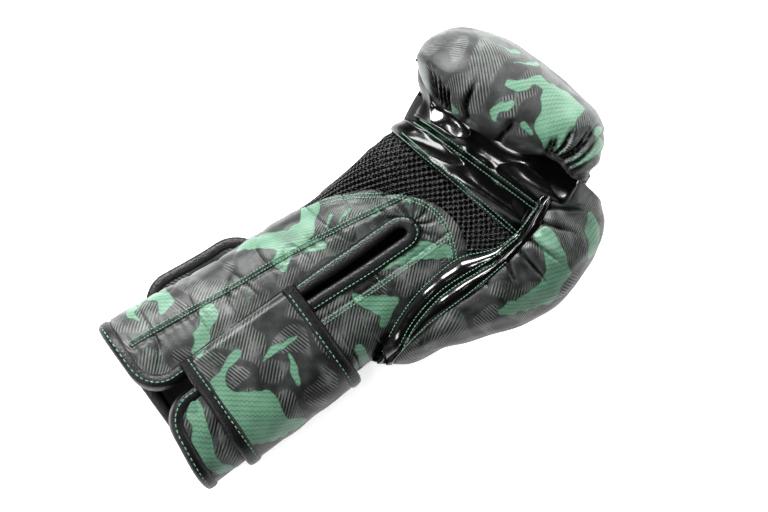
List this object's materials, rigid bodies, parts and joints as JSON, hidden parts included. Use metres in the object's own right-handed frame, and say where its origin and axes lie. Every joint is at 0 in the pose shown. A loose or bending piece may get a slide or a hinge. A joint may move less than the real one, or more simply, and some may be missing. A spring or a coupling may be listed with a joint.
{
  "type": "boxing glove",
  "caption": "Right-hand padded training boxing glove with closed fist, attached thumb, vented palm, and a slit cuff closed by a wrap-round hook-and-loop strap.",
  "frame": {"origin": "on the table, under the middle of the closed glove, which lies on its back with the palm up", "axes": "+X from the cuff to the fist, +Y towards the little finger's side, +Z out of the palm"},
  "size_m": [0.2994, 0.1692, 0.1192],
  "materials": {
    "camo": "satin coated leather, camouflage print",
    "patent": "high gloss patent",
    "mesh": "open knit mesh",
    "binding": "satin",
    "foam": "matte cellular foam",
    "lining": "matte",
    "hook_loop": "pile and hooks"
  },
  "bodies": {
    "glove": {"main_shell": "camo", "palm_heel_panel": "camo", "thumb_shell": "camo", "cuff_back_panel": "camo", "grip_panel_lower": "patent", "grip_panel_upper": "patent", "thumb_gusset_inner": "patent", "thumb_gusset_outer": "patent", "thumb_lock_tab": "patent", "palm_mesh_panel": "mesh", "slit_binding": "binding", "cuff_back_binding": "binding", "impact_foam": "foam", "comfort_foam": "foam", "palm_heel_pad": "foam", "grip_bar": "foam", "thumb_foam": "foam", "cuff_back_foam": "foam", "hand_lining_back": "lining", "hand_lining_palm": "lining", "thumb_lining": "lining", "cuff_back_lining": "lining", "cuff_loop_patch": "hook_loop"},
    "flap_little_finger": {"cuff_flap_little_finger_panel": "camo", "cuff_flap_little_finger_binding": "binding", "cuff_flap_little_finger_foam": "foam", "cuff_flap_little_finger_lining": "lining"},
    "flap_thumb": {"cuff_flap_thumb_panel": "camo", "cuff_flap_thumb_binding": "binding", "cuff_flap_thumb_foam": "foam", "cuff_flap_thumb_lining": "lining"},
    "strap_palm": {"strap_palm_panel": "camo", "strap_palm_binding_hand_side": "binding", "strap_palm_binding_wrist_side": "binding"},
    "strap_side": {"strap_side_panel": "camo", "strap_side_binding_hand_side": "binding", "strap_side_binding_wrist_side": "binding"},
    "strap_back": {"strap_back_panel": "camo", "strap_back_binding": "binding", "strap_hook_patch": "hook_loop"}
  },
  "joints": [
    {"name": "strap_open", "type": "hinge", "parent": "flap_little_finger", "child": "strap_palm", "pos_m": [-0.0973, 0.01388, 0.07164], "axis": [-1, 0, 0], "range_deg": [0, 130]},
    {"name": "strap_side_fold", "type": "hinge", "parent": "strap_palm", "child": "strap_side", "pos_m": [-0.0973, -0.03204, 0.06676], "axis": [-1, 0, 0], "range_deg": [0, 85]},
    {"name": "strap_back_peel", "type": "hinge", "parent": "strap_side", "child": "strap_back", "pos_m": [-0.0973, -0.02276, 0], "axis": [-1, 0, 0], "range_deg": [0, 92]},
    {"name": "flap_little_finger_spread", "type": "hinge", "parent": "glove", "child": "flap_little_finger", "pos_m": [-0.0973, 0.05679, 0.037], "axis": [-1, 0, 0], "range_deg": [0, 12]},
    {"name": "flap_thumb_spread", "type": "hinge", "parent": "glove", "child": "flap_thumb", "pos_m": [-0.0973, -0.04321, 0.037], "axis": [1, 0, 0], "range_deg": [0, 12]}
  ],
  "couplings": [
    {"joint": "strap_side_fold", "follows": "strap_open", "ratio": 0.65},
    {"joint": "strap_back_peel", "follows": "strap_open", "ratio": 0.7},
    {"joint": "flap_little_finger_spread", "follows": "strap_open", "ratio": 0.09},
    {"joint": "flap_thumb_spread", "follows": "strap_open", "ratio": 0.09}
  ]
}
